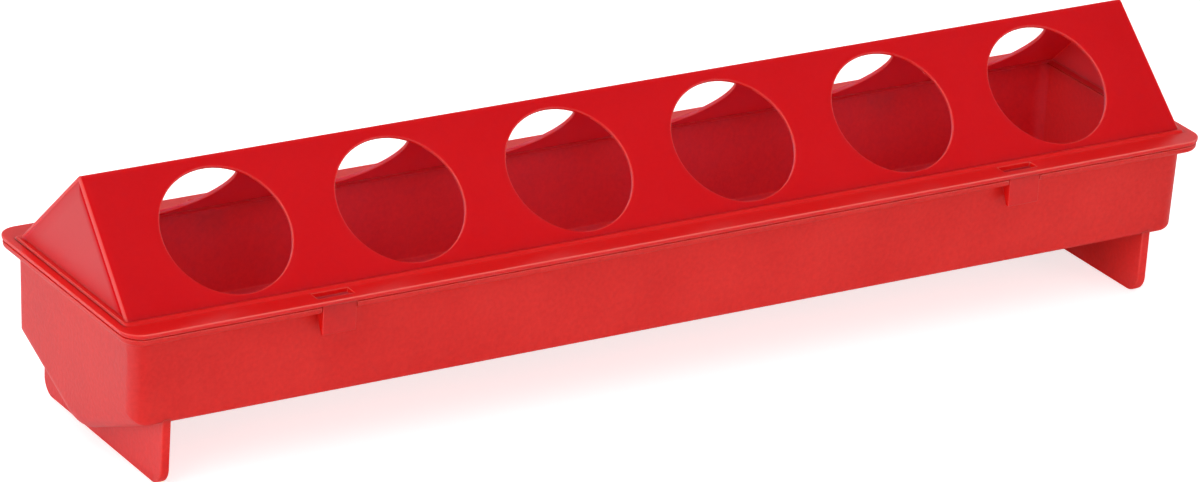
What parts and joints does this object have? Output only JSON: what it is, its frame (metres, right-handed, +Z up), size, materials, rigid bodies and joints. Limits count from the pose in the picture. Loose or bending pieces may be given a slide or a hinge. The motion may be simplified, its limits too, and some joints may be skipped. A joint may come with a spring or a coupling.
{
  "type": "chicken feeder trough",
  "caption": "Long chick feeder: a pan with a shallow V bottom on foot plates, under a gabled lid that clips on, with round feeding holes down both slopes.",
  "frame": {"origin": "centre of the ground footprint, midway between the two foot plates, on the ground", "axes": "+X along the ridge, +Z up, +Y from the slope that the picture shows to the one behind"},
  "size_m": [0.3, 0.0698, 0.0673],
  "materials": {
    "trough_red": "moulded red polypropylene with a fine even stipple, satin",
    "lid_red": "moulded red polypropylene, smooth and glossy"
  },
  "bodies": {
    "trough": {"trough": "trough_red"},
    "lid": {"lid": "lid_red"}
  },
  "joints": [
    {"name": "lid_lift", "type": "slide", "parent": "trough", "child": "lid", "axis": [0, 0, 1], "range_m": [0, 0.08]}
  ]
}
